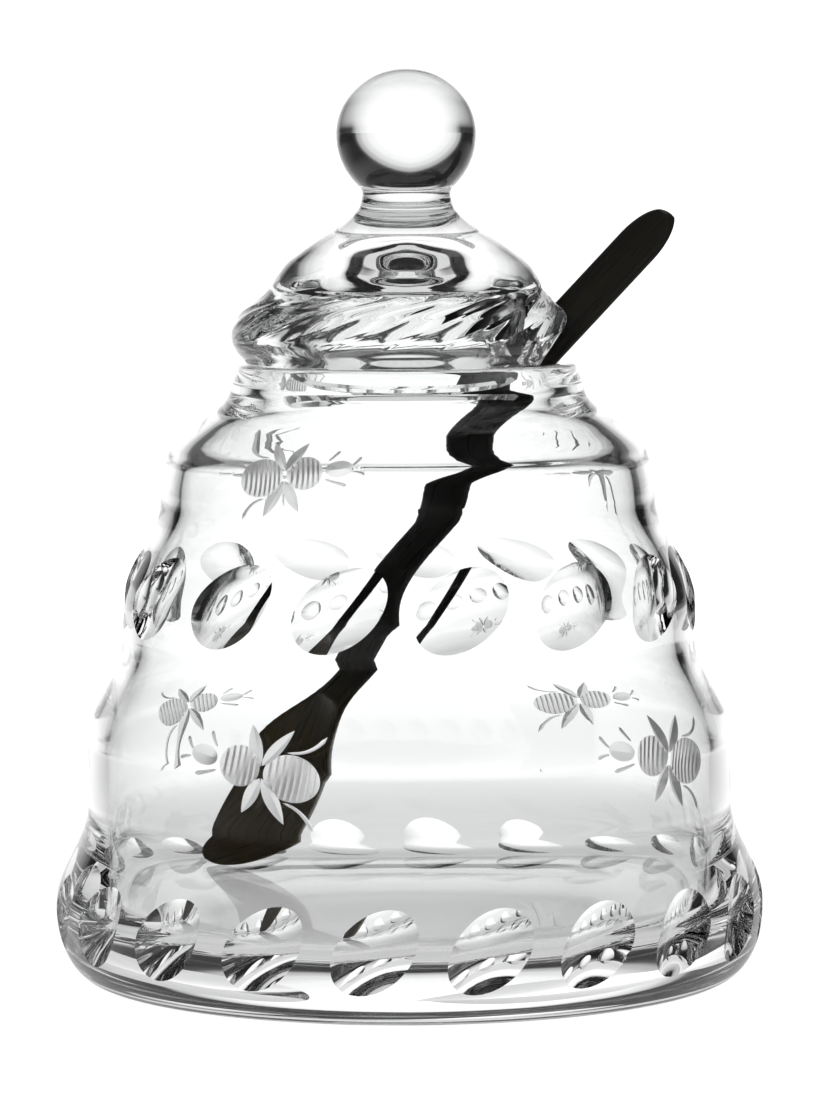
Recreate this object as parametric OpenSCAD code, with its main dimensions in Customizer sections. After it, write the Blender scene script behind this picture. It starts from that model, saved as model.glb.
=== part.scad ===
// Honey pot: a stepped glass jar in the shape of a beehive, a loose glass lid
// with a ball knob, and a horn spoon that leans out through a slot in the lid.
// Millimetres. Z is up, the origin is the centre of the jar's foot and the
// front of the pot faces -Y.

/* [Jar] */
// Height of the jar from the table to the top of its rim
jar_h = 102; // [101.5:0.25:102.5]
// Outer radius of the flat ring the jar stands on
foot_r = 52; // [49:0.5:54]
// Radius of the lowest and widest tier
tier1_r = 59.1; // [58:0.1:62]
// Radius of the second tier
tier2_r = 53.6; // [53:0.1:55]
// Radius of the third tier
tier3_r = 47.7; // [47:0.1:49]
// Radius of the fourth tier
tier4_r = 41.2; // [40.5:0.1:42.5]
// Outer radius of the rim's top edge
rim_r = 28.2; // [28:0.1:29]
// Radius of the mouth
mouth_r = 24.4; // [24.3:0.1:24.8]
// Thickness of the glass in the wall
wall_t = 3.5; // [2.8:0.1:3.7]
// Height of the floor inside the jar
floor_z = 9.8; // [8:0.1:9.8]

/* [Cuts] */
// Number of slanted oval cuts round the third tier
upper_cuts = 15; // [12:1:16]
// Number of slanted oval cuts round the lowest tier
lower_cuts = 20; // [16:1:21]
// Angle of the oval cuts above level
cut_slant = 42; // [36:1:50]
// Depth of the oval cuts
cut_depth = 2; // [1.4:0.1:2.2]
// Number of slanted cuts round the lid's rim
lid_cuts = 20; // [16:1:21]

/* [Lid] */
// Radius of the lid's rolled rim
lid_r = 29.2; // [28.5:0.1:30]
// Radius of the ring that drops into the mouth
plug_r = 20.6; // [20:0.1:21.5]
// Radius of the hollow under the lid
hollow_r = 17.2; // [15:0.1:17.6]
// Depth of the ring below the lid's seat
plug_drop = 5.6; // [4.5:0.1:6]
// Radius of the ball knob
knob_r = 11.6; // [10:0.1:13]
// Width of the slot that the spoon passes through
slot_w = 16; // [16:0.5:18]

/* [Spoon] */
// Width of the spoon's bowl
bowl_w = 22.4; // [18:0.2:22.6]
// Depth of the hollow in the spoon's bowl
bowl_d = 5; // [3.5:0.5:5.5]
// Greatest width of the spoon's handle
handle_w = 10.5; // [8:0.5:10.5]
// Thickness of the spoon's handle
handle_t = 2.6; // [2:0.1:2.7]

/* [Hidden] */
$fn = 72;

// S-shaped step from 0 to 1 while z goes from a to b
function s_step(t) = t <= 0 ? 0 : t >= 1 ? 1 : (1 - cos(180 * t)) / 2;
function step_at(z, a, b) = s_step((z - a) / (b - a));
// Points of a round from angle a to angle b
function round_pts(c, r, a, b, n) =
    [for (i = [0:n]) c + r * [cos(a + (b - a) * i / n), sin(a + (b - a) * i / n)]];
// Smooth curve through a few points, n steps to each span
function curve_at(p, i, t) =
    let (a = p[max(i - 1, 0)], b = p[i], c = p[i + 1], d = p[min(i + 2, len(p) - 1)])
    0.5 * (2 * b + (c - a) * t + (2 * a - 5 * b + 4 * c - d) * t * t
           + (3 * b - a - 3 * c + d) * t * t * t);
function curve(p, n) =
    concat([for (i = [0:len(p) - 2]) for (k = [0:n - 1]) curve_at(p, i, k / n)],
           [p[len(p) - 1]]);

// ---------------------------------------------------------------- jar
bulge_z = 12;
shoulder_drop = 2;
neck_r = 29.4;
neck_z = 98;
// Outside radius at height z: a rounded foot, then four tiers
function jar_out(z) =
    z < bulge_z
    ? foot_r + (tier1_r - foot_r) * sqrt(max(0, 1 - pow((bulge_z - z) / bulge_z, 2)))
    : tier1_r
      - (tier1_r - tier2_r) * step_at(z, 12, 29)
      - (tier2_r - tier3_r) * step_at(z, 39.6, 56)
      - (tier3_r - tier4_r) * step_at(z, 62.6, 79.4)
      - shoulder_drop * step_at(z, 81, 91)
      - (tier4_r - shoulder_drop - neck_r) * step_at(z, 87, neck_z)
      - (z > neck_z ? (neck_r - rim_r) * (z - neck_z) / (jar_h - neck_z) : 0);

// Inside radius at height z: a rounded corner on the floor, then the tiers
corner_r = 5;
low_in_r = tier1_r - 6.5;
in_drop = 1.8;
function jar_in(z) =
    low_in_r
    - (low_in_r - tier2_r + wall_t) * step_at(z, 12, 30)
    - (z < floor_z + corner_r
       ? corner_r - corner_r * sqrt(max(0, 1 - pow((floor_z + corner_r - z) / corner_r, 2)))
       : 0)
    - (tier2_r - tier3_r) * step_at(z, 38.5, 57)
    - (tier3_r - tier4_r) * step_at(z, 61.5, 80.5)
    - in_drop * step_at(z, 80, 90)
    - (tier4_r - wall_t - in_drop - mouth_r) * step_at(z, 84.5, 97.8);

lip_out = 1;
lip_in = 1.3;
recess_h = 0.8;
recess_r = foot_r - 14;
jar_profile = concat(
    [for (i = [0:4]) [recess_r * i / 4, recess_h * (1 - pow(i / 4, 2))]],
    [for (i = [0:8]) let (z = bulge_z * (1 - cos(90 * i / 8))) [jar_out(z), z]],
    [for (i = [1:42]) let (z = bulge_z + i * 2) [jar_out(z), z]],
    [[jar_out(neck_z), neck_z]],
    round_pts([rim_r - lip_out, jar_h - lip_out], lip_out, 15, 90, 4),
    round_pts([mouth_r + lip_in, jar_h - lip_in], lip_in, 90, 180, 4),
    [for (i = [0:45]) let (z = 97.8 - i * 2) if (z > floor_z + corner_r + 0.5) [jar_in(z), z]],
    [for (i = [0:8]) let (z = floor_z + corner_r * (1 - sin(90 * i / 8))) [jar_in(z), z]],
    [[0, floor_z]]
);

upper_cut_z = 65.2;
upper_phase = -79.5;
lower_cut_z = 12.4;
lower_phase = -95.5;
// A round-nosed cutting wheel pressed into the wall at height z
module wheel(z, size, nose, depth, tilt) {
    translate([jar_out(z), 0, z]) rotate([0, -tilt, 0]) translate([size - depth, 0, 0])
        rotate([cut_slant, 0, 0])
            rotate_extrude() translate([size - nose, 0]) circle(r = nose);
}

module jar() {
    color([0.86, 0.9, 0.9, 0.4])
        difference() {
            rotate_extrude() polygon(jar_profile);
            for (i = [0:upper_cuts - 1])
                rotate([0, 0, upper_phase + 360 * i / upper_cuts])
                    wheel(upper_cut_z, 29, 10.6, cut_depth, 9);
            for (i = [0:lower_cuts - 1])
                rotate([0, 0, lower_phase + 360 * i / lower_cuts])
                    wheel(lower_cut_z, 32, 9.2, cut_depth + 0.3, 0);
        }
}

// ---------------------------------------------------------------- lid
seat_gap = 0.1;
seat_z = jar_h + seat_gap;
ball_z = seat_z + 37.7;
waist_r = 7.4;
// The ball is a little flattened above its middle
ball_top = 0.94;
ball_end = asin(sqrt(pow(knob_r, 2) - pow(waist_r + 0.3, 2)) / knob_r);
// Hand-set points of the section, heights above the seat
waist_pts = [[7.4, 28.5], [7.35, 27.5], [8.2, 25.1], [11.4, 22.4], [15.4, 19.8],
             [19.2, 17.2], [21.6, 14.4], [23.3, 11.7]];
brim_pts = [[23.3, 11.7], [25, 10.4], [27.8, 8.1], [29.2, 4.9], [28.6, 2.3], [26.8, 0.1]];
hollow_pts = [[17.2, -4.8], [17, 2], [16.5, 6.5], [15.2, 8.9], [11.4, 10], [8.6, 10.8], [6.2, 12.5], [0, 13.9]];
function set_up(p, k) = [for (q = p) [q[0] * k, q[1] + seat_z]];

lid_profile = concat(
    [for (i = [0:15]) let (a = 90 - i * (90 + ball_end) / 15)
        [i == 0 ? 0 : knob_r * cos(a), ball_z + knob_r * (a > 0 ? ball_top : 1) * sin(a)]],
    curve(set_up(waist_pts, 1), 3),
    [for (q = curve(set_up(brim_pts, lid_r / 29.2), 3)) if (q[1] < seat_z + 11.6) q],
    [[26, seat_z], [plug_r + 0.5, seat_z], [plug_r, seat_z - 0.5]],
    [[plug_r, seat_z - plug_drop + 0.8], [plug_r - 0.8, seat_z - plug_drop],
     [hollow_r + 0.8, seat_z - plug_drop], [hollow_r, seat_z - plug_drop + 0.8]],
    [for (q = curve(set_up(hollow_pts, hollow_r / 17.2), 4)) if (q[1] > seat_z - plug_drop + 1) q]
);

// The slot runs outwards and leans with the spoon's handle. Its mouth is
// rounded off on both sides where it breaks through the rim.
slot_az = 6.5;
slot_lean = 34;
slot_in = 11.6;
slot_corner = 4;
mouth_round = 7;
module slot_shape() {
    h = slot_w / 2;
    translate([slot_in + slot_corner, -h]) square([50, 2 * h]);
    translate([slot_in, -h + slot_corner]) square([50, 2 * h - 2 * slot_corner]);
    for (s = [-1, 1]) translate([slot_in + slot_corner, s * (h - slot_corner)]) circle(r = slot_corner);
    difference() {
        translate([13, -h - 11.7]) square([50, 2 * h + 23.4]);
        for (s = [-1, 1]) translate([13, s * (h + mouth_round)]) circle(r = mouth_round);
        for (s = [-1, 1]) translate([12, s * (h + mouth_round + 4) - 4]) square([6, 8]);
    }
}

// Slanted cuts on the upper side of the rolled rim
lid_cut_r = lid_r - 1.9;
lid_cut_h = 8.4;
lid_cut_phase = -97;
module lid_wheel() {
    translate([lid_cut_r, 0, seat_z + lid_cut_h]) rotate([0, -40, 0]) translate([40 - 0.5, 0, 0])
        rotate([33, 0, 0])
            rotate_extrude() translate([40 - 7, 0]) circle(r = 7);
}

module lid() {
    color([0.86, 0.9, 0.9, 0.4])
        difference() {
            rotate_extrude() polygon(lid_profile);
            for (i = [0:lid_cuts - 1])
                rotate([0, 0, lid_cut_phase + 360 * i / lid_cuts]) lid_wheel();
            rotate([0, 0, slot_az]) translate([0, 0, seat_z])
                multmatrix([[1, 0, tan(slot_lean), 0], [0, 1, 0, 0], [0, 0, 1, 0], [0, 0, 0, 1]])
                    translate([0, 0, -12]) linear_extrude(height = 34) slot_shape();
        }
}

// ---------------------------------------------------------------- spoon
// Lies along +Z from the tip of its bowl, hollow side towards +Y
spoon_l = 140;
bowl_l = 40;
neck_w = 9.2;
bowl_t = 1.8;
bend_at = 92;
bend_len = 18;
bend = 0.32;
function spoon_half(s) =
    let (b = bowl_w / 2, m = bowl_l * 0.44, n = bowl_l + 6, e = handle_w * 0.7,
         f = neck_w / 2 + (handle_w - neck_w) / 2 * s_step((s - n) / 60))
    s < m ? b * sqrt(max(0, 1 - pow((m - s) / m, 2)))
    : s < n ? b - (b - neck_w / 2) * s_step((s - m) / (n - m))
    : spoon_l - s < e ? f * sqrt(max(0, 1 - pow(1 - (spoon_l - s) / e, 2))) : f;
function spoon_dish(s) =
    s > bowl_l ? 0 : bowl_d * pow(max(0, 1 - pow((s - bowl_l * 0.46) / (bowl_l * 0.54), 2)), 0.8);
function spoon_thick(s) = bowl_t + (handle_t - bowl_t) * s_step((s - bowl_l) / 24);
// The bowl's tip curls up a little, and the handle bends back above the mouth
function spoon_mid(s) =
    (s < bowl_l ? 4.5 * pow((bowl_l - s) / bowl_l, 2) : 0)
    - (s > bend_at ? bend * pow(min(s - bend_at, bend_len), 2) / (2 * bend_len) : 0)
    - (s > bend_at + bend_len ? bend * (s - bend_at - bend_len) : 0);

rows = 48;
half_n = 9;
loop_n = 2 * half_n;
function row_s(i) = min(max(spoon_l * (1 - cos(180 * i / rows)) / 2, 0.1), spoon_l - 0.1);
function spoon_pt(i, j) =
    let (s = row_s(i), h = max(spoon_half(s), 0.15), a = 180 * j / half_n, u = cos(a),
         e = pow(abs(sin(a)), 0.7) * (sin(a) < 0 ? -1 : 1), t = spoon_thick(s) * min(1, h / 1.5))
    [h * u, spoon_mid(s) - spoon_dish(s) * (1 - u * u) + t / 2 * e, s];
spoon_pts = concat([for (i = [0:rows]) for (j = [0:loop_n - 1]) spoon_pt(i, j)],
                   [[0, spoon_mid(0), 0], [0, spoon_mid(spoon_l), spoon_l]]);
tip_i = (rows + 1) * loop_n;
function at(i, j) = i * loop_n + (j % loop_n);
spoon_faces = concat(
    [for (i = [0:rows - 1]) for (j = [0:loop_n - 1]) [at(i, j), at(i + 1, j), at(i + 1, j + 1)]],
    [for (i = [0:rows - 1]) for (j = [0:loop_n - 1]) [at(i, j), at(i + 1, j + 1), at(i, j + 1)]],
    [for (j = [0:loop_n - 1]) [tip_i, at(0, j), at(0, j + 1)]],
    [for (j = [0:loop_n - 1]) [tip_i + 1, at(rows, j + 1), at(rows, j)]]
);

spoon_foot = [-32.2, 20.6, 9.55];
spoon_lean = 30.2;
spoon_az = -20;
spoon_roll = 38;
module spoon() {
    color([0.1, 0.075, 0.06])
        translate(spoon_foot) rotate([0, spoon_lean, spoon_az]) rotate([0, 0, 180 - spoon_roll])
            polyhedron(points = spoon_pts, faces = spoon_faces, convexity = 6);
}

jar();
lid();
spoon();
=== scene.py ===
import math

import bmesh
import bpy
import numpy as np
from mathutils import Matrix, Vector
from mathutils.geometry import delaunay_2d_cdt


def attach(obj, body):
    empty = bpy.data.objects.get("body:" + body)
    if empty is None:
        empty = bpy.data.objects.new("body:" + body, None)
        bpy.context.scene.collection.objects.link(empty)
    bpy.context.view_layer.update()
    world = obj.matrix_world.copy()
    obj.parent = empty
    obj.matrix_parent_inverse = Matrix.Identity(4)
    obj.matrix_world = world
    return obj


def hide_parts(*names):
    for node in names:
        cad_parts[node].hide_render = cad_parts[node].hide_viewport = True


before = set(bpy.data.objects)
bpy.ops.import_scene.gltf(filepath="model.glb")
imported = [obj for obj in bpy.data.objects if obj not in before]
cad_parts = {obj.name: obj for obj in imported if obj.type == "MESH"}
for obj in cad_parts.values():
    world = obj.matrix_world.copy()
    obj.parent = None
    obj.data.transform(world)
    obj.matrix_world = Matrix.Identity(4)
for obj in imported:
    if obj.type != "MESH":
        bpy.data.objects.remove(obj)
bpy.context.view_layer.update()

MM = 0.001
STEP = 1.5            # degrees between columns
COLS = 240


# ------------------------------------------------------------------ sections
def ease(t):
    return 0.0 if t <= 0 else 1.0 if t >= 1 else (1 - math.cos(math.pi * t)) / 2


def rise(z, a, b):
    return ease((z - a) / (b - a))


FOOT, T1, T2, T3, T4 = 52.0, 59.07, 53.6, 47.7, 41.2
FLOOR, CORNER, WALL, LOW_IN, MOUTH = 9.8, 5.0, 3.5, 52.6, 24.4
SEAT = 102.1


def jar_out(z):
    r = (T1 - (T1 - T2) * rise(z, 12, 29) - (T2 - T3) * rise(z, 39.6, 56)
         - (T3 - T4) * rise(z, 62.6, 79.4) - 2.0 * rise(z, 81, 91) - 9.8 * rise(z, 87, 98))
    if z > 98:
        r -= (29.4 - 28.166) * (z - 98) / 3.26
    return r


def jar_in(z):
    return (LOW_IN - (LOW_IN - (T2 - WALL)) * rise(z, 12, 30) - (T2 - T3) * rise(z, 38.5, 57)
            - (T3 - T4) * rise(z, 61.5, 80.5) - 1.8 * rise(z, 80, 90)
            - (T4 - WALL - 1.8 - MOUTH) * rise(z, 84.5, 97.8))


def catmull(points, n):
    p = [np.array(q, float) for q in points]
    p = [2 * p[0] - p[1]] + p + [2 * p[-1] - p[-2]]
    out = []
    for i in range(1, len(p) - 2):
        for k in range(n):
            t = k / n
            out.append(0.5 * (2 * p[i] + (p[i + 1] - p[i - 1]) * t
                              + (2 * p[i - 1] - 5 * p[i] + 4 * p[i + 1] - p[i + 2]) * t * t
                              + (3 * p[i] - p[i - 1] - 3 * p[i + 1] + p[i + 2]) * t ** 3))
    out.append(p[-2])
    return [tuple(q) for q in out]


class Section:
    """A section (r, z) by arc length s, with the normal on its left hand when s runs out, up and back in."""

    def __init__(self, pts):
        keep = [pts[0]]
        for q in pts[1:]:
            if math.hypot(q[0] - keep[-1][0], q[1] - keep[-1][1]) > 1e-6:
                keep.append(q)
        a = np.array(keep)
        d = np.hypot(*np.diff(a, axis=0).T)
        self.s = np.concatenate([[0], np.cumsum(d)])
        self.r, self.z = a[:, 0], a[:, 1]
        self.length = self.s[-1]
        g = np.linspace(0, self.length, int(self.length / 0.05))
        r, z = np.interp(g, self.s, self.r), np.interp(g, self.s, self.z)
        tr, tz = np.gradient(r, g), np.gradient(z, g)
        k = np.ones(9) / 9
        tr = np.convolve(np.pad(tr, 4, mode="edge"), k, "valid")
        tz = np.convolve(np.pad(tz, 4, mode="edge"), k, "valid")
        n = np.hypot(tr, tz)
        fine = np.arange(0, self.length + 0.02, 0.01)
        self.table = list(zip(*(q.tolist() for q in (np.interp(fine, self.s, self.r), np.interp(fine, self.s, self.z),
                                                     np.interp(fine, g, tz / n), np.interp(fine, g, -tr / n)))))

    def at(self, s):
        k = min(max(int(s * 100), 0), len(self.table) - 2)
        f = s * 100 - k
        a, b = self.table[k], self.table[k + 1]
        r, z, nr, nz = (x + (y - x) * f for x, y in zip(a, b))
        n = math.hypot(nr, nz)
        return r, z, nr / n, nz / n


# ------------------------------------------------------------------ mesh on a turned surface
class Turned:
    """Vertices, faces and normals of a solid of revolution whose columns may lean by twist(s) degrees."""

    def __init__(self, section, twist):
        self.sec, self.twist = section, twist
        self.v, self.nb, self.nc, self.f, self.g = [], [], [], [], []
        self.cache = {}

    def point(self, phi, s, depth=0.0):
        r, z, nr, nz = self.sec.at(s)
        r, z = r - depth * nr, z - depth * nz
        return (r * math.cos(phi), r * math.sin(phi), z)

    def normal(self, phi, s):
        _, _, nr, nz = self.sec.at(s)
        return (nr * math.cos(phi), nr * math.sin(phi), nz)

    def add(self, p, nb, nc=None):
        self.v.append(p)
        self.nb.append(nb)
        self.nc.append(nc)
        return len(self.v) - 1

    def face(self, idx, group=0):
        self.f.append(tuple(idx))
        self.g.append(group)

    def phi(self, j, s):
        return math.radians(j * STEP + self.twist(s))

    def grid(self, j, s):
        key = (j % COLS, round(s, 5))
        if key not in self.cache:
            a = self.phi(j, s)
            self.cache[key] = self.add(self.point(a, s), self.normal(a, s))
        return self.cache[key]

    def pole(self, s, up, row):
        r, z, _, _ = self.sec.at(s)
        c = self.add((0, 0, z), (0, 0, up))
        for j in range(COLS):
            a, b = self.grid(j, row), self.grid(j + 1, row)
            self.face((c, b, a) if s < row else (a, b, c))

    def band(self, rows, windows=()):
        for i in range(len(rows) - 1):
            for j in range(COLS):
                if any(w.holds(j, i) for w in windows):
                    continue
                self.face((self.grid(j, rows[i]), self.grid(j + 1, rows[i]),
                           self.grid(j + 1, rows[i + 1]), self.grid(j, rows[i + 1])))

    def ovals(self, s0, half, n_rows, first, n_cols, count, long_r, short_r, slant, depth, k_out, k_in):
        """A ring of cells, each with one oval cut: a crisp edge, and a hollow ground into the surface."""
        lo, hi = s0 - half, s0 + half
        rows = [lo + (hi - lo) * i / n_rows for i in range(n_rows + 1)]
        radius = self.sec.at(s0)[0]
        ca, sa = math.cos(math.radians(slant)), math.sin(math.radians(slant))

        def level(h, v):
            a, b = h * ca + v * sa, -h * sa + v * ca
            return (a / long_r) ** 2 + (b / short_r) ** 2

        for k in range(count):
            left = first + k * n_cols
            loop = ([(left + j, rows[0]) for j in range(n_cols)]
                    + [(left + n_cols, rows[i]) for i in range(n_rows)]
                    + [(left + j, rows[-1]) for j in range(n_cols, 0, -1)]
                    + [(left, rows[i]) for i in range(n_rows, 0, -1)])
            phi0 = self.phi(left + n_cols / 2, s0)
            outer = [self.grid(j, s) for j, s in loop]
            hv = [(radius * (self.phi(j, s) - phi0), s - s0) for j, s in loop]
            edge = [(h / math.sqrt(level(h, v)), v / math.sqrt(level(h, v))) for h, v in hv]

            def cut_at(h, v, with_base=False):
                def p(hh, vv):
                    return np.array(self.point(phi0 + hh / radius, s0 + vv, depth * max(-0.3, 1 - level(hh, vv))))
                e = 0.02
                n = np.cross(p(h + e, v) - p(h - e, v), p(h, v + e) - p(h, v - e))
                n = tuple(n / np.linalg.norm(n))
                return self.add(tuple(p(h, v)), self.normal(phi0 + h / radius, s0 + v), n)

            m = len(loop)
            rim = [cut_at(h, v) for h, v in edge]
            ring = rim
            for q in range(1, k_out + 1):
                t = (q / k_out) ** 1.2
                if q == k_out:
                    nxt = outer
                else:
                    nxt = []
                    for (h, v), (eh, ev) in zip(hv, edge):
                        hh, vv = eh + (h - eh) * t, ev + (v - ev) * t
                        a = phi0 + hh / radius
                        nxt.append(self.add(self.point(a, s0 + vv), self.normal(a, s0 + vv)))
                for i in range(m):
                    self.face((ring[i], nxt[i], nxt[(i + 1) % m], ring[(i + 1) % m]))
                ring = nxt
            ring = rim
            for q in range(1, k_in):
                u = 1 - q / k_in
                nxt = [cut_at(h * u, v * u) for h, v in edge]
                for i in range(m):
                    self.face((nxt[i], ring[i], ring[(i + 1) % m], nxt[(i + 1) % m]), 1)
                ring = nxt
            c = cut_at(0.0, 0.0)
            for i in range(m):
                self.face((c, ring[i], ring[(i + 1) % m]), 1)

    def mesh(self, name, mats, custom=True):
        me = bpy.data.meshes.new(name)
        me.from_pydata([(x * MM, y * MM, z * MM) for x, y, z in self.v], [], self.f)
        for m in mats:
            me.materials.append(m)
        me.polygons.foreach_set("material_index", [1 if g == 2 else 0 for g in self.g])
        me.polygons.foreach_set("use_smooth", [True] * len(self.f))
        me.update()
        if custom:
            normals = []
            for poly, g in zip(me.polygons, self.g):
                for i in poly.vertices:
                    if g == 0:
                        normals.append(self.nb[i])
                    elif g == 1:
                        normals.append(self.nc[i])
                    else:
                        normals.append(tuple(poly.normal))
            me.normals_split_custom_set(normals)
        return me


def spread(a, b, step):
    n = max(1, int(math.ceil((b - a) / step)))
    return [a + (b - a) * i / n for i in range(n + 1)]


def chain(*parts):
    out = list(parts[0])
    for p in parts[1:]:
        out += list(p)[1:]
    return out


# ------------------------------------------------------------------ engraved bees
class Leaf:
    """A wheel-cut stroke along a curve: deepest on its middle line, tapering to both ends."""

    def __init__(self, pts, half, wing):
        pts = [np.array(p, float) for p in pts]
        if len(pts) == 2:
            pts = [pts[0], (pts[0] + pts[1]) / 2, pts[1]]
        n = 9 if wing else 8
        self.c, self.w = [], []
        for i in range(n + 1):
            t = i / n
            self.c.append((1 - t) ** 2 * pts[0] + 2 * t * (1 - t) * pts[1] + t * t * pts[2])
            if wing:
                w = half * math.sin(math.pi * t ** 0.85) ** 0.85 if 0 < t < 1 else 0.0
            else:
                w = half * (0.45 + 0.55 * t) if 0 < t < 1 else 0.0
            self.w.append(w)
        self.deep = min(0.6, 0.55 * half)
        side = []
        for i in range(n + 1):
            a, b = self.c[max(0, i - 1)], self.c[min(n, i + 1)]
            d = (b - a) / np.linalg.norm(b - a)
            side.append(np.array([-d[1], d[0]]))
        up = [self.c[i] + side[i] * self.w[i] for i in range(1, n)]
        dn = [self.c[i] - side[i] * self.w[i] for i in range(1, n)]
        self.poly = [self.c[0]] + dn + [self.c[n]] + up[::-1]
        self.lines = [list(self.c[1:n])]

    def depth(self, p):
        best = 0.0
        for i in range(len(self.c) - 1):
            a, b = self.c[i], self.c[i + 1]
            d = b - a
            t = min(1.0, max(0.0, float(np.dot(p - a, d) / np.dot(d, d))))
            w = self.w[i] + (self.w[i + 1] - self.w[i]) * t
            if w > 1e-6:
                best = max(best, self.deep * min(1.0, w / max(self.w)) * (1 - np.linalg.norm(p - a - t * d) / w))
        return best


CREASE = 0.24


class Body:
    """A ground oval with creases cut across it, which leave ribs side by side."""

    def __init__(self, centre, a, b, turn, ribs, deep):
        self.o, self.a, self.b, self.ribs, self.deep = np.array(centre, float), a, b, ribs, deep
        self.co, self.si = math.cos(math.radians(turn)), math.sin(math.radians(turn))
        n = 40 if ribs else 24
        self.poly = [self.out(a * math.cos(2 * math.pi * i / n), b * math.sin(2 * math.pi * i / n)) for i in range(n)]
        self.lines = []
        if ribs:
            for k in range(1, ribs):
                for off in (-CREASE, 0.0, CREASE):
                    x = -a + 2 * a * (k + off) / ribs
                    y = b * math.sqrt(1 - (x / a) ** 2) - 0.32
                    if y > 0.3:
                        self.lines.append([self.out(x, y * (2 * i / 6 - 1)) for i in range(7)])
        else:
            self.lines.append([self.out(0.6 * a * (2 * i / 4 - 1), 0) for i in range(5)])

    def out(self, x, y):
        return self.o + np.array([x * self.co - y * self.si, x * self.si + y * self.co])

    def depth(self, p):
        d = p - self.o
        x, y = d[0] * self.co + d[1] * self.si, -d[0] * self.si + d[1] * self.co
        e = 1 - math.hypot(x / self.a, y / self.b)
        if e <= 1e-4:
            return 0.0
        edge = min(1.0, e * self.b / 0.42)
        dish = 0.6 * (1 - (1 - e) ** 2)
        if not self.ribs:
            return self.deep * edge + 0.5 * dish
        f = (x + self.a) / (2 * self.a) * self.ribs
        if not 0.5 < f < self.ribs - 0.5:
            return dish
        return dish + edge * self.deep * max(0.0, 1 - abs((f + 0.5) % 1 - 0.5) / CREASE)


def bee(size, flip, turn):
    f = -1 if flip else 1
    co, si = math.cos(math.radians(turn)), math.sin(math.radians(turn))

    def at(x, y):
        x, y = x * f * size, y * size
        return (x * co - y * si, x * si + y * co)

    tilt = turn
    shapes = [Body(at(5.1, -0.2), 4.7 * size, 3.6 * size, tilt - 8 * f, 9, 0.25),
              Body(at(-3.8, 1.0), 3.6 * size, 3.2 * size, tilt - 6 * f, 7, 0.23),
              Body(at(-10.5, 1.9), 2.6 * size, 1.55 * size, tilt - 8 * f, 0, 0.1)]
    for a, b, half in (((-0.1, 1.2), (-3.0, 7.6), 1.16), ((0.1, 1.3), (4.6, 7.3), 1.04),
                       ((-0.1, -0.6), (-3.1, -6.2), 1.14), ((0.1, -0.6), (4.2, -7.3), 1.2)):
        shapes.append(Leaf([at(*a), at(*b)], half * size, True))
    for pts, half in ((((4.0, 3.7), (8.2, 3.4), (10.2, 6.7)), 0.38), (((3.9, -4.0), (7.2, -4.6), (9.0, -8.0)), 0.4),
                      (((-8.3, 3.4), (-9.2, 4.2), (-10.2, 5.8)), 0.36), (((-7.9, -0.1), (-9.8, -0.7), (-12.2, -1.2)), 0.38),
                      (((-12.9, 2.5), (-13.7, 3.0), (-14.6, 4.4)), 0.36), (((-13.1, 1.4), (-14.2, 1.4), (-15.4, 0.8)), 0.34)):
        shapes.append(Leaf([at(*p) for p in pts], half * size, False))
    return shapes


def inside(p, poly):
    if not (min(q[0] for q in poly) < p[0] < max(q[0] for q in poly)):
        return False
    hit = False
    j = len(poly) - 1
    for i in range(len(poly)):
        a, b = poly[i], poly[j]
        if (a[1] > p[1]) != (b[1] > p[1]) and p[0] < (b[0] - a[0]) * (p[1] - a[1]) / (b[1] - a[1]) + a[0]:
            hit = not hit
        j = i
    return hit


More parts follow.
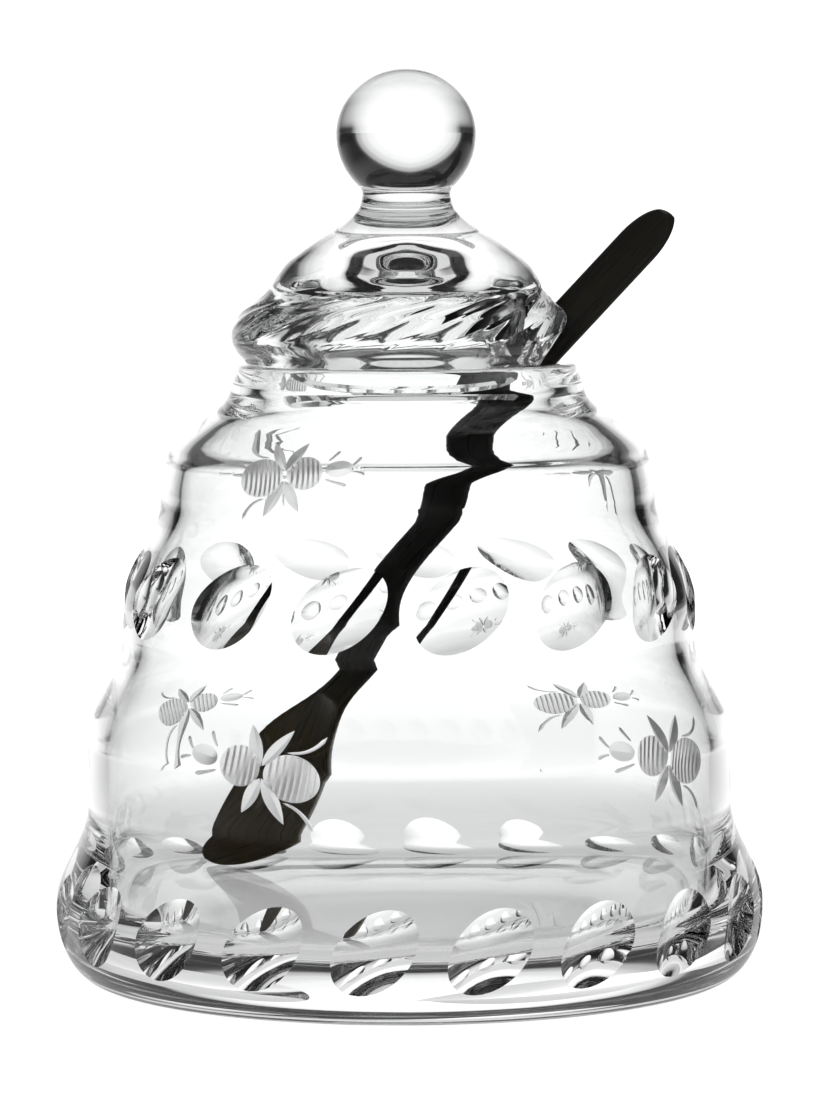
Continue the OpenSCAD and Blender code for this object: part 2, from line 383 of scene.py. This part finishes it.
class Window:
    """A patch of the wall that carries one bee, stitched into the grid around it."""

    def __init__(self, turned, rows, phi_deg, s0, shapes):
        self.t, self.rows, self.s0, self.shapes = turned, rows, s0, shapes
        self.radius = turned.sec.at(s0)[0]
        self.phi0 = math.radians(phi_deg)
        pts = [p for sh in shapes for p in sh.poly]
        h0, h1 = min(p[0] for p in pts) - 1.2, max(p[0] for p in pts) + 1.2
        v0, v1 = min(p[1] for p in pts) - 1.2, max(p[1] for p in pts) + 1.2
        self.j0 = math.floor((phi_deg + math.degrees(h0 / self.radius) - turned.twist(s0)) / STEP)
        self.j1 = math.ceil((phi_deg + math.degrees(h1 / self.radius) - turned.twist(s0)) / STEP)
        self.i0 = max(i for i, s in enumerate(rows) if s <= s0 + v0)
        self.i1 = min(i for i, s in enumerate(rows) if s >= s0 + v1)

    def holds(self, j, i):
        return self.i0 <= i < self.i1 and (j - self.j0) % COLS < self.j1 - self.j0

    def flat(self, j, s):
        return (self.radius * (self.t.phi(j, s) - self.phi0), s - self.s0)

    def build(self):
        t = self.t
        loop = ([(j, self.i0) for j in range(self.j0, self.j1)] + [(self.j1, i) for i in range(self.i0, self.i1)]
                + [(j, self.i1) for j in range(self.j1, self.j0, -1)] + [(self.j0, i) for i in range(self.i1, self.i0, -1)])
        coords = [Vector(self.flat(j, self.rows[i])) for j, i in loop]
        ids = [t.grid(j, self.rows[i]) for j, i in loop]
        n = len(loop)
        edges = [(i, (i + 1) % n) for i in range(n)]
        marks = [p for sh in self.shapes for p in sh.poly]
        for i in range(self.i0 + 1, self.i1):
            for j in range(self.j0 + 1, self.j1):
                p = self.flat(j, self.rows[i])
                if min((p[0] - q[0]) ** 2 + (p[1] - q[1]) ** 2 for q in marks) < 0.36:
                    continue
                if any(inside(p, sh.poly) for sh in self.shapes):
                    continue
                coords.append(Vector(p))
                ids.append(None)
        for sh in self.shapes:
            a = len(coords)
            m = len(sh.poly)
            coords += [Vector((p[0], p[1])) for p in sh.poly]
            edges += [(a + i, a + (i + 1) % m) for i in range(m)]
            for line in sh.lines:
                a = len(coords)
                coords += [Vector((p[0], p[1])) for p in line]
                edges += [(a + i, a + i + 1) for i in range(len(line) - 1)]
        out, _, faces, origin, _, _ = delaunay_2d_cdt(coords, edges, [], 1, 1e-5, True)
        index = []
        for p, o in zip(out, origin):
            old = [q for q in o if q < n]
            if old:
                index.append(ids[old[0]])
                continue
            q = np.array([p[0], p[1]])
            d = max(sh.depth(q) for sh in self.shapes)
            a, s = self.phi0 + p[0] / self.radius, self.s0 + p[1]
            index.append(t.add(t.point(a, s, d), t.normal(a, s)))
        where = {q: k for k, o in enumerate(origin) for q in o if q < n}
        rim = {frozenset((where[i], where[(i + 1) % n])) for i in range(n)}
        sides = {}
        for k, f in enumerate(faces):
            for i in range(len(f)):
                e = frozenset((f[i], f[i - 1]))
                if e not in rim:
                    sides.setdefault(e, []).append(k)
        beyond = {k[0] for k in sides.values() if len(k) == 1}
        todo = list(beyond)
        while todo:
            f = faces[todo.pop()]
            for i in range(len(f)):
                for k in sides.get(frozenset((f[i], f[i - 1])), []):
                    if k not in beyond:
                        beyond.add(k)
                        todo.append(k)
        for k, f in enumerate(faces):
            if k in beyond:
                continue
            x = [out[i] for i in f]
            area = sum(x[i][0] * x[(i + 1) % len(x)][1] - x[(i + 1) % len(x)][0] * x[i][1] for i in range(len(x)))
            c = (sum(p[0] for p in x) / len(x), sum(p[1] for p in x) / len(x))
            order = list(f) if area > 0 else list(f)[::-1]
            t.face([index[i] for i in order], 2 if any(inside(c, sh.poly) for sh in self.shapes) else 0)


# ------------------------------------------------------------------ materials
def new_material(name):
    m = bpy.data.materials.new(name)
    m.use_nodes = True
    nt = m.node_tree
    return m, nt, nt.nodes["Principled BSDF"]


def node(nt, kind, **values):
    n = nt.nodes.new(kind)
    for k, v in values.items():
        if k in n.inputs:
            n.inputs[k].default_value = v
        else:
            setattr(n, k, v)
    return n


def glass_material():
    m, nt, p = new_material("cut_glass")
    p.inputs["Base Color"].default_value = (0.99, 0.995, 0.995, 1)
    p.inputs["Roughness"].default_value = 0.0
    p.inputs["IOR"].default_value = 1.53
    p.inputs["Transmission Weight"].default_value = 1.0
    # slow waves left by hand polishing
    tc = node(nt, "ShaderNodeTexCoord")
    wave = node(nt, "ShaderNodeTexNoise", Scale=55.0, Detail=1.0)
    bump = node(nt, "ShaderNodeBump", Strength=0.12, Distance=0.0004)
    nt.links.new(tc.outputs["Object"], wave.inputs["Vector"])
    nt.links.new(wave.outputs["Fac"], bump.inputs["Height"])
    nt.links.new(bump.outputs["Normal"], p.inputs["Normal"])
    return m


def etched_material():
    m, nt, p = new_material("etched_glass")
    tc = node(nt, "ShaderNodeTexCoord")
    grain = node(nt, "ShaderNodeTexNoise", Scale=2600.0, Detail=3.0)
    ramp = node(nt, "ShaderNodeValToRGB")
    ramp.color_ramp.elements[0].color = (0.9, 0.905, 0.905, 1)
    ramp.color_ramp.elements[1].color = (1.0, 1.0, 1.0, 1)
    bump = node(nt, "ShaderNodeBump", Strength=0.35, Distance=0.00006)
    nt.links.new(tc.outputs["Object"], grain.inputs["Vector"])
    nt.links.new(grain.outputs["Fac"], ramp.inputs["Fac"])
    nt.links.new(ramp.outputs["Color"], p.inputs["Base Color"])
    nt.links.new(grain.outputs["Fac"], bump.inputs["Height"])
    nt.links.new(bump.outputs["Normal"], p.inputs["Normal"])
    p.inputs["Roughness"].default_value = 0.38
    p.inputs["IOR"].default_value = 1.53
    p.inputs["Transmission Weight"].default_value = 0.8
    return m


def horn_material():
    m, nt, p = new_material("dark_horn")
    uv = node(nt, "ShaderNodeUVMap", uv_map="UVMap")
    stretch = node(nt, "ShaderNodeMapping")
    stretch.inputs["Scale"].default_value = (9.0, 1.3, 1.0)
    streak = node(nt, "ShaderNodeTexNoise", Scale=2.4, Detail=7.0, Roughness=0.62, Distortion=0.5)
    ramp = node(nt, "ShaderNodeValToRGB")
    e = ramp.color_ramp.elements
    e[0].position, e[0].color = 0.42, (0.0125, 0.0122, 0.0114, 1)
    e[1].position, e[1].color = 0.86, (0.05, 0.034, 0.014, 1)
    mid = ramp.color_ramp.elements.new(0.62)
    mid.color = (0.018, 0.0158, 0.0108, 1)
    fine = node(nt, "ShaderNodeTexNoise", Scale=60.0, Detail=4.0)
    bump = node(nt, "ShaderNodeBump", Strength=0.12, Distance=0.0001)
    rough = node(nt, "ShaderNodeMapRange")
    rough.inputs["To Min"].default_value = 0.2
    rough.inputs["To Max"].default_value = 0.38
    nt.links.new(uv.outputs["UV"], stretch.inputs["Vector"])
    nt.links.new(stretch.outputs["Vector"], streak.inputs["Vector"])
    nt.links.new(stretch.outputs["Vector"], fine.inputs["Vector"])
    nt.links.new(streak.outputs["Fac"], ramp.inputs["Fac"])
    # browner towards the bowl end, in streaks: partly the horn's own tone, partly painted light that brightens the
    # bowl, which the lamps don't reach through the glass
    split = node(nt, "ShaderNodeSeparateXYZ")
    toward_bowl = node(nt, "ShaderNodeMapRange", interpolation_type="SMOOTHSTEP")
    for k, v in (("From Min", 0.1), ("From Max", 1.5), ("To Min", 1.9), ("To Max", 0.0)):
        toward_bowl.inputs[k].default_value = v
    warm = node(nt, "ShaderNodeMath", operation="MULTIPLY")
    brown = node(nt, "ShaderNodeVectorMath", operation="SCALE")
    brown.inputs[0].default_value = (0.12, 0.088, 0.036)
    tone = node(nt, "ShaderNodeVectorMath", operation="ADD")
    nt.links.new(uv.outputs["UV"], split.inputs["Vector"])
    nt.links.new(split.outputs["Y"], toward_bowl.inputs["Value"])
    nt.links.new(toward_bowl.outputs["Result"], warm.inputs[0])
    nt.links.new(streak.outputs["Fac"], warm.inputs[1])
    # the brown added here is horn tone plus painted light on the bowl
    nt.links.new(warm.outputs["Value"], brown.inputs["Scale"])
    nt.links.new(ramp.outputs["Color"], tone.inputs[0])
    nt.links.new(brown.outputs["Vector"], tone.inputs[1])
    nt.links.new(tone.outputs["Vector"], p.inputs["Base Color"])
    nt.links.new(fine.outputs["Fac"], bump.inputs["Height"])
    nt.links.new(streak.outputs["Fac"], rough.inputs["Value"])
    nt.links.new(rough.outputs["Result"], p.inputs["Roughness"])
    nt.links.new(bump.outputs["Normal"], p.inputs["Normal"])
    p.inputs["IOR"].default_value = 1.54
    p.inputs["Specular IOR Level"].default_value = 0.14
    return m


GLASS, ETCHED, HORN = glass_material(), etched_material(), horn_material()


def place(name, me, body, cad):
    o = bpy.data.objects.new(name, me)
    bpy.context.scene.collection.objects.link(o)
    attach(o, body)
    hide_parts(cad)
    return o


# ------------------------------------------------------------------ jar
def jar_section():
    pts = [(r, 0.8 * max(0.0, 1 - (r / 38) ** 2)) for r in np.arange(0, FOOT + 0.01, 0.25)]
    n = 200
    pts += [(FOOT + (T1 - FOOT) * math.sin(math.pi / 2 * i / n), 12 - 12 * math.cos(math.pi / 2 * i / n))
            for i in range(1, n + 1)]
    pts += [(jar_out(z), z) for z in np.arange(12.1, 101.255, 0.1)]
    pts += [(27.2 + math.cos(math.radians(a)), 101 + math.sin(math.radians(a))) for a in range(15, 91, 3)]
    pts += [(MOUTH + 1.3 + 1.3 * math.cos(math.radians(a)), 100.7 + 1.3 * math.sin(math.radians(a)))
            for a in range(90, 181, 3)]
    pts += [(jar_in(z), z) for z in np.arange(100.6, FLOOR + CORNER, -0.1)]
    for i in range(0, 101):
        a = math.pi / 2 * i / 100
        z = FLOOR + CORNER - CORNER * math.sin(a)
        pts.append((jar_in(z) - CORNER + CORNER * math.cos(a), z))
    r = pts[-1][0]
    pts += [(q, FLOOR) for q in np.linspace(r, 0, 80)[1:]]
    return Section(pts)


JS = jar_section()
TOP = int(np.argmax(JS.z))


def s_out(z):
    """Arc length at height z on the outside."""
    k = np.searchsorted(JS.z[60:TOP], z) + 60
    a, b = JS.z[k - 1], JS.z[k]
    return float(JS.s[k - 1] + (JS.s[k] - JS.s[k - 1]) * (z - a) / max(1e-9, b - a))


def s_in(z):
    k = TOP
    while JS.z[k] > z:
        k += 1
    return float(JS.s[k])


def build_jar():
    low, high = s_out(12.4), s_out(65.2)
    low_half, high_half = 7.95, 8.3

    def twist(s):
        return 0.5 * (1 - ease((s - low - low_half) / 20))

    t = Turned(JS, twist)
    foot = float(np.interp(FOOT, JS.r[:200], JS.s[:200]))
    bottom = chain([5.0, 14.0, 23.0, 31.0, 36.0, 39.5], spread(39.5, 45.6, 0.6), spread(45.6, foot, 2.2),
                   spread(foot, low - low_half, 0.45))
    t.pole(0.0, -1, bottom[0])
    t.band(bottom)
    t.ovals(low, low_half, 20, -70, 12, 20, 8.2, 5.6, 45, 2.3, 6, 9)
    mid = spread(low + low_half, high - high_half, 1.1)
    bees = [Window(t, mid, phi - 90, s_out(39.4), bee(1.04, False, -3)) for phi in (-26.0, 51.0, 143.7, 229.7)]
    t.band(mid, bees)
    t.ovals(high, high_half, 20, -61, 16, 15, 8.8, 6.0, 39, 2.0, 6, 9)
    lip = s_out(101.0)
    upper = chain(spread(high + high_half, s_out(96), 1.1), spread(s_out(96), lip, 0.6))
    crown = [Window(t, upper, phi - 90, s_out(85.4), bee(0.88, True, 0)) for phi in (-29, 121, 225)]
    t.band(upper, crown)
    for w in bees + crown:
        w.build()
    lip_end, floor_s = s_in(100.5), s_in(FLOOR + CORNER)
    corner_end = float(JS.s[-80])
    inner = chain(spread(lip, lip_end, 0.3), spread(lip_end, floor_s, 0.95), spread(floor_s, corner_end, 0.6),
                  spread(corner_end, JS.length - 5, 5.0))
    t.band(inner)
    t.pole(JS.length, 1, inner[-1])
    return place("jar_glass", t.mesh("jar_glass", [GLASS, ETCHED]), "jar_body", "jar")


# ------------------------------------------------------------------ lid
def lid_section():
    hollow = catmull([(17.2, 97.3), (17, 104.1), (16.5, 108.6), (15.2, 111), (11.4, 112.1), (8.6, 112.9), (6.2, 114.6), (0, 116)], 16)[::-1]
    pts = [(max(0.0, r), z) for r, z in hollow]
    pts += [(18.0, 96.5), (19.8, 96.5), (20.6, 97.3), (20.6, 101.6), (21.1, SEAT), (26, SEAT)]
    pts += catmull([(23.3, 113.8), (25, 112.5), (27.8, 110.2), (29.2, 107), (28.6, 104.4), (26.8, 102.2)], 16)[::-1][:-8]
    wst = catmull([(7.4, 130.6), (7.35, 129.6), (8.2, 127.2), (11.4, 124.5), (15.4, 121.9), (19.2, 119.3),
                   (21.6, 116.5), (23.3, 113.8)], 16)[::-1]
    pts += wst[4:]
    end = math.degrees(math.asin(math.sqrt(11.6 ** 2 - 7.7 ** 2) / 11.6))
    n = 90
    for i in range(n + 1):
        a = math.radians(-end + (90 + end) * i / n)
        pts.append((11.6 * math.cos(a), 139.8 + 11.6 * (0.94 if a > 0 else 1.0) * math.sin(a)))
    pts[-1] = (0.0, 139.8 + 11.6 * 0.94)
    return Section(pts)


def near(sec, r, z):
    return float(sec.s[int(np.argmin((sec.r - r) ** 2 + (sec.z - z) ** 2))])


def build_lid():
    sec = lid_section()
    cut = near(sec, 27.3, 110.6)
    half = 6.0
    lean = math.degrees(2.3 / 27.3)

    def twist(s):
        return 0.5 + lean * max(-half, min(half, s - cut))

    t = Turned(sec, twist)
    keys = [near(sec, *q) for q in ((17.2, 97.3), (18.0, 96.5), (19.8, 96.5), (20.6, 97.3), (20.6, 101.6), (21.1, SEAT),
                                    (26, SEAT), (26.8, 102.2))]
    low = chain(spread(2.0, keys[0], 0.95), *[spread(a, b, 0.9) for a, b in zip(keys, keys[1:])],
                spread(keys[-1], cut - half, 0.5))
    t.pole(0.0, -1, low[0])
    t.band(low)
    t.ovals(cut, half, 14, -71, 12, 20, 11.5, 1.56, 23.5, 0.25, 4, 7)
    high = chain(spread(cut + half, near(sec, 8.2, 127.2), 0.8), spread(near(sec, 8.2, 127.2), near(sec, 7.7, 131.12), 0.4),
                 spread(near(sec, 7.7, 131.12), sec.length - 0.6, 0.75))
    t.band(high)
    t.pole(sec.length, 1, high[-1])
    lid = bpy.data.objects.new("lid_glass", t.mesh("lid_glass", [GLASS], custom=False))
    bpy.context.scene.collection.objects.link(lid)

    # the slot for the spoon, leaning outwards
    def arc(c, r, a, b, n):
        return [(c[0] + r * math.cos(math.radians(a + (b - a) * i / n)), c[1] + r * math.sin(math.radians(a + (b - a) * i / n)))
                for i in range(n + 1)]

    side = arc((15.6, 4), 4, 180, 180 - math.degrees(math.acos(2.6 / 4)), 5) + arc((13, 15), 7, -90, 42.2, 16) + [(63, 19.7)]
    shape = [(u, -v) for u, v in side[::-1]] + side
    bm = bmesh.new()
    levels = []
    k, turn = math.tan(math.radians(34)), Matrix.Rotation(math.radians(6.5), 4, "Z")
    for z in (-12.0, 22.0):
        levels.append([bm.verts.new(turn @ Vector(((u + k * z) * MM, v * MM, (SEAT + z) * MM))) for u, v in shape])
    n = len(shape)
    for i in range(n):
        bm.faces.new((levels[0][i], levels[0][(i + 1) % n], levels[1][(i + 1) % n], levels[1][i]))
    bm.faces.new(levels[0][::-1])
    bm.faces.new(levels[1])
    bmesh.ops.recalc_face_normals(bm, faces=bm.faces)
    cutter_me = bpy.data.meshes.new("slot_cutter")
    bm.to_mesh(cutter_me)
    bm.free()
    cutter = bpy.data.objects.new("slot_cutter", cutter_me)
    bpy.context.scene.collection.objects.link(cutter)
    mod = lid.modifiers.new("slot", "BOOLEAN")
    mod.operation, mod.solver, mod.object = "DIFFERENCE", "EXACT", cutter
    bpy.context.view_layer.update()
    me = bpy.data.meshes.new_from_object(lid.evaluated_get(bpy.context.evaluated_depsgraph_get()))
    bpy.data.objects.remove(lid)
    bpy.data.objects.remove(cutter)
    bm = bmesh.new()
    bm.from_mesh(me)
    bmesh.ops.remove_doubles(bm, verts=bm.verts, dist=2e-6)
    bmesh.ops.dissolve_degenerate(bm, edges=bm.edges, dist=1e-6)
    for f in bm.faces:
        f.smooth = True
    for e in bm.edges:
        if len(e.link_faces) == 2 and e.calc_face_angle(0) > math.radians(17):
            e.smooth = False
    bm.to_mesh(me)
    bm.free()
    me.name = "lid_glass"
    return place("lid_glass", me, "lid_body", "lid")


# ------------------------------------------------------------------ spoon
LONG, BOWL_W, BOWL_L, BOWL_D, GRIP_W, GRIP_T, NECK = 140.0, 22.4, 40.0, 5.0, 10.5, 2.6, 9.2


def spoon_half(s):
    b, m = BOWL_W / 2, BOWL_L * 0.44
    if s < m:
        return b * math.sqrt(max(0.0, 1 - ((m - s) / m) ** 2))
    if s < BOWL_L + 6:
        return b - (b - NECK / 2) * ease((s - m) / (BOWL_L + 6 - m))
    f = NECK / 2 + (GRIP_W - NECK) / 2 * ease((s - BOWL_L - 6) / 60)
    e, q = LONG - s, GRIP_W * 0.7
    return f * math.sqrt(max(0.0, 1 - (1 - e / q) ** 2)) if e < q else f


def spoon_dish(s):
    return 0.0 if s > BOWL_L else BOWL_D * max(0.0, 1 - ((s - BOWL_L * 0.46) / (BOWL_L * 0.54)) ** 2) ** 0.8


def spoon_mid(s):
    y = 4.5 * max(0.0, (BOWL_L - s) / BOWL_L) ** 2
    if s > 92:
        u = min(s, 110) - 92
        y -= 0.32 * u * u / 36
        if s > 110:
            y -= 0.32 * (s - 110)
    return y


def build_spoon():
    rows, half_n = 260, 26
    loop_n = 2 * half_n
    pose = (Matrix.Translation((-32.2, 20.6, 9.55)) @ Matrix.Rotation(math.radians(-20), 4, "Z")
            @ Matrix.Rotation(math.radians(30.2), 4, "Y") @ Matrix.Rotation(math.radians(180 - 38), 4, "Z"))
    verts, faces, uvs = [], [], []
    for i in range(rows + 1):
        s = 0.06 + (LONG - 0.12) * (1 - math.cos(math.pi * i / rows)) / 2
        h = max(spoon_half(s), 0.12)
        th = (1.8 + (GRIP_T - 1.8) * ease((s - BOWL_L) / 24)) * min(1.0, h / 1.5)
        for j in range(loop_n):
            a = math.pi * j / half_n
            u, sn = math.cos(a), math.sin(a)
            e = abs(sn) ** 0.7 * (1 if sn >= 0 else -1)
            verts.append((h * u, spoon_mid(s) - spoon_dish(s) * (1 - u * u) + th / 2 * e, s))
            uvs.append((h * u / 20 + (0.7 if sn < 0 else 0.0), s / 40))
    tip = len(verts)
    verts += [(0, spoon_mid(0.0), 0), (0, spoon_mid(LONG), LONG)]
    uvs += [(0, 0), (0, LONG / 40)]
    for i in range(rows):
        for j in range(loop_n):
            k = (j + 1) % loop_n
            faces.append((i * loop_n + j, i * loop_n + k, (i + 1) * loop_n + k, (i + 1) * loop_n + j))
    for j in range(loop_n):
        k = (j + 1) % loop_n
        faces.append((tip, k, j))
        faces.append((tip + 1, rows * loop_n + j, rows * loop_n + k))
    me = bpy.data.meshes.new("horn_spoon")
    me.from_pydata([tuple((pose @ Vector(v)) * MM) for v in verts], [], faces)
    me.materials.append(HORN)
    me.polygons.foreach_set("use_smooth", [True] * len(faces))
    layer = me.uv_layers.new(name="UVMap")
    for loop in me.loops:
        layer.data[loop.index].uv = uvs[loop.vertex_index]
    me.update()
    bm = bmesh.new()
    bm.from_mesh(me)
    bmesh.ops.recalc_face_normals(bm, faces=bm.faces)
    bm.to_mesh(me)
    bm.free()
    return place("horn_spoon", me, "spoon_body", "spoon")


jar = build_jar()
lid = build_lid()
spoon = build_spoon()


# ------------------------------------------------------------------ stage
def floor_material():
    """Pale floor that glows by emission and looks plain white to camera rays; to other rays its glow is a little greyer
    close to the object, a painted shadow.
    """
    m, nt, p = new_material("pale_floor")
    p.inputs["Base Color"].default_value = (0.15, 0.15, 0.15, 1)
    p.inputs["Roughness"].default_value = 0.8
    p.inputs["Specular IOR Level"].default_value = 0.1
    p.inputs["Emission Color"].default_value = (1, 1, 1, 1)
    tc = node(nt, "ShaderNodeTexCoord")
    far = node(nt, "ShaderNodeVectorMath", operation="LENGTH")
    ramp = node(nt, "ShaderNodeValToRGB")
    # painted shadow: the glow is lowest close to the object and rises to full further out
    for i, (at, v) in enumerate(((0.07, 0.48), (0.8, 1.0), (0.13, 0.6), (0.24, 0.81), (0.39, 0.91))):
        e = ramp.color_ramp.elements[i] if i < 2 else ramp.color_ramp.elements.new(at)
        e.position, e.color = at, (v, v, v, 1)
    split = node(nt, "ShaderNodeSeparateXYZ")

    def ranged(value, f0, f1, t0, t1):
        n = node(nt, "ShaderNodeMapRange", interpolation_type="SMOOTHSTEP")
        for k, v in (("From Min", f0), ("From Max", f1), ("To Min", t0), ("To Max", t1)):
            n.inputs[k].default_value = v
        nt.links.new(value, n.inputs["Value"])
        return n.outputs["Result"]

    def calc(op, a, b):
        n = node(nt, "ShaderNodeMath", operation=op)
        for i, x in enumerate((a, b)):
            if isinstance(x, (int, float)):
                n.inputs[i].default_value = x
            else:
                nt.links.new(x, n.inputs[i])
        return n.outputs["Value"]

    nt.links.new(tc.outputs["Object"], far.inputs[0])
    nt.links.new(tc.outputs["Object"], split.inputs[0])
    nt.links.new(far.outputs["Value"], ramp.inputs["Fac"])
    # painted light: the floor's glow fades towards the sides and in front
    round_by = calc("DIVIDE", calc("ARCTAN2", calc("ABSOLUTE", split.outputs["X"], 0.0), split.outputs["Y"]), math.pi)

    def profile(*stops):
        n = node(nt, "ShaderNodeValToRGB")
        for i, (at, v) in enumerate(stops):
            e = n.color_ramp.elements[i] if i < 2 else n.color_ramp.elements.new(at / 180)
            e.position, e.color = at / 180, (v, v, v, 1)
        nt.links.new(round_by, n.inputs["Fac"])
        return n.outputs["Color"]

    close = profile((15, 1.0), (90, 0.08), (25, 0.88), (35, 0.7), (45, 0.5), (60, 0.3), (75, 0.1))
    distant = profile((12, 1.0), (60, 0.012), (20, 0.92), (25, 0.82), (30, 0.667), (35, 0.43), (38, 0.18), (41, 0.03))
    fade = calc("ADD", close, calc("MULTIPLY", ranged(far.outputs["Value"], 0.3, 1.8, 0.0, 1.0), calc("SUBTRACT", distant, close)))
    out = ranged(far.outputs["Value"], 0.12, 0.32, 0.0, 1.0)
    flank = calc("MULTIPLY", out, calc("SUBTRACT", 1.0, fade))
    # painted shade: the glow is dimmed in front of the object
    front = ranged(split.outputs["Y"], -0.2, -0.062, 0.15, 1.0)
    painted_glow = calc("MULTIPLY", calc("MULTIPLY", ramp.outputs["Color"], calc("SUBTRACT", 1.0, flank)), calc("MULTIPLY", front, 1.25))
    path = node(nt, "ShaderNodeLightPath")
    # camera rays see the floor white; other rays see the painted glow with its painted shade
    nt.links.new(calc("MAXIMUM", painted_glow, path.outputs["Is Camera Ray"]), p.inputs["Emission Strength"])
    return m


bm = bmesh.new()
bmesh.ops.create_circle(bm, cap_ends=True, radius=6.0, segments=96)
me = bpy.data.meshes.new("floor")
bm.to_mesh(me)
bm.free()
me.materials.append(floor_material())
floor = bpy.data.objects.new("floor", me)
floor.location = (0, 0, -0.0002)
bpy.context.scene.collection.objects.link(floor)


def soft_world():
    """A broad white panel behind, a strip above it and weaker ones on the other sides, with darkness between them."""
    w = bpy.data.worlds.new("studio")
    w.use_nodes = True
    nt = w.node_tree
    bg = nt.nodes["Background"]

    def math_node(op, a, b=None):
        n = node(nt, "ShaderNodeMath", operation=op)
        for i, x in enumerate((a, b)):
            if x is None:
                continue
            if isinstance(x, (int, float)):
                n.inputs[i].default_value = x
            else:
                nt.links.new(x, n.inputs[i])
        return n.outputs["Value"]

    def ramp(fac, *stops):
        n = node(nt, "ShaderNodeValToRGB")
        n.color_ramp.interpolation = "EASE"
        for i, (at, v) in enumerate(stops):
            e = n.color_ramp.elements[i] if i < 2 else n.color_ramp.elements.new(at)
            e.position, e.color = at, (v, v, v, 1)
        nt.links.new(fac, n.inputs["Fac"])
        return n.outputs["Color"]

    tc = node(nt, "ShaderNodeTexCoord")
    sep = node(nt, "ShaderNodeSeparateXYZ")
    nt.links.new(tc.outputs["Generated"], sep.inputs["Vector"])
    az = math_node("ARCTAN2", sep.outputs["X"], sep.outputs["Y"])
    el = math_node("MAXIMUM", math_node("ARCSINE", sep.outputs["Z"]), 0.0)
    near_az = node(nt, "ShaderNodeMath", operation="WRAP")
    nt.links.new(az, near_az.inputs[0])
    near_az.inputs[1].default_value, near_az.inputs[2].default_value = math.pi / 4, -math.pi / 4

    def panel(angle, wide, tall, level):
        a, b = math_node("DIVIDE", angle, wide), math_node("DIVIDE", el, tall)
        far = math_node("POWER", math_node("ADD", math_node("POWER", math_node("ABSOLUTE", a), 1.6), math_node("POWER", b, 1.6)), 1 / 1.6)
        return math_node("MULTIPLY", ramp(math_node("MULTIPLY", far, 0.5), (0.2, 1.0), (0.6, 0.012), (0.35, 0.82), (0.425, 0.66), (0.5, 0.4), (0.56, 0.04)), level)

    glow = math_node("MAXIMUM", panel(math_node("ADD", az, 0.05), 0.62, 0.38, 1.25), math_node(
        "MULTIPLY", panel(near_az.outputs["Value"], 0.4, 0.2, 0.12), 
        ramp(math_node("ADD", math_node("MULTIPLY", sep.outputs["Y"], 0.5), 0.5), (0.1, 0.8), (0.35, 1.0))))
    strip = ramp(sep.outputs["Z"], (0.62, 0.0), (0.92, 0.0), (0.67, 1.0), (0.86, 1.0))
    strip = math_node("MULTIPLY", strip, ramp(math_node("ABSOLUTE", az), (0.5, 1.0), (0.7, 0.0)))
    glow = math_node("MAXIMUM", glow, math_node("MULTIPLY", strip, 0.75))
    path = node(nt, "ShaderNodeLightPath")
    nt.links.new(math_node("MAXIMUM", glow, path.outputs["Is Camera Ray"]), bg.inputs["Color"])
    bg.inputs["Strength"].default_value = 1.0
    bpy.context.scene.world = w


soft_world()
bpy.context.scene.view_settings.view_transform = "Standard"
# light runs a long way inside thick glass before it comes out
paths = bpy.context.scene.cycles
paths.max_bounces, paths.transmission_bounces, paths.glossy_bounces = 24, 24, 16


def softbox(name, at, aim, size, power):
    d = bpy.data.lights.new(name, "AREA")
    d.shape, d.size, d.energy = "SQUARE", size, power
    o = bpy.data.objects.new(name, d)
    o.location = at
    o.rotation_euler = (Vector(aim) - Vector(at)).to_track_quat("-Z", "Y").to_euler()
    o.visible_glossy = o.visible_transmission = False
    bpy.context.scene.collection.objects.link(o)
    return o


softbox("key", (-0.6, -0.8, 0.8), (0, 0, 0.06), 0.6, 9.0)
softbox("fill", (0.7, -0.7, 0.5), (0, 0, 0.06), 0.6, 5.0)

# ------------------------------------------------------------------ camera
cam_data = bpy.data.cameras.new("camera")
cam_data.sensor_fit = "VERTICAL"
cam_data.sensor_height = 36.0
cam_data.lens = 5121 * 36.0 / 1093
cam_data.dof.use_dof = False
cam_data.clip_start = 0.01
cam = bpy.data.objects.new("camera", cam_data)
eye, aim = Vector((0.0, -0.850, 0.141)), Vector((0.0003, 0.0, 0.0714))
look = (aim - eye).to_track_quat("-Z", "Y").to_matrix().to_4x4()
cam.matrix_world = Matrix.Translation(eye) @ look @ Matrix.Rotation(math.radians(-0.3), 4, "Z")
bpy.context.scene.collection.objects.link(cam)
bpy.context.scene.camera = cam
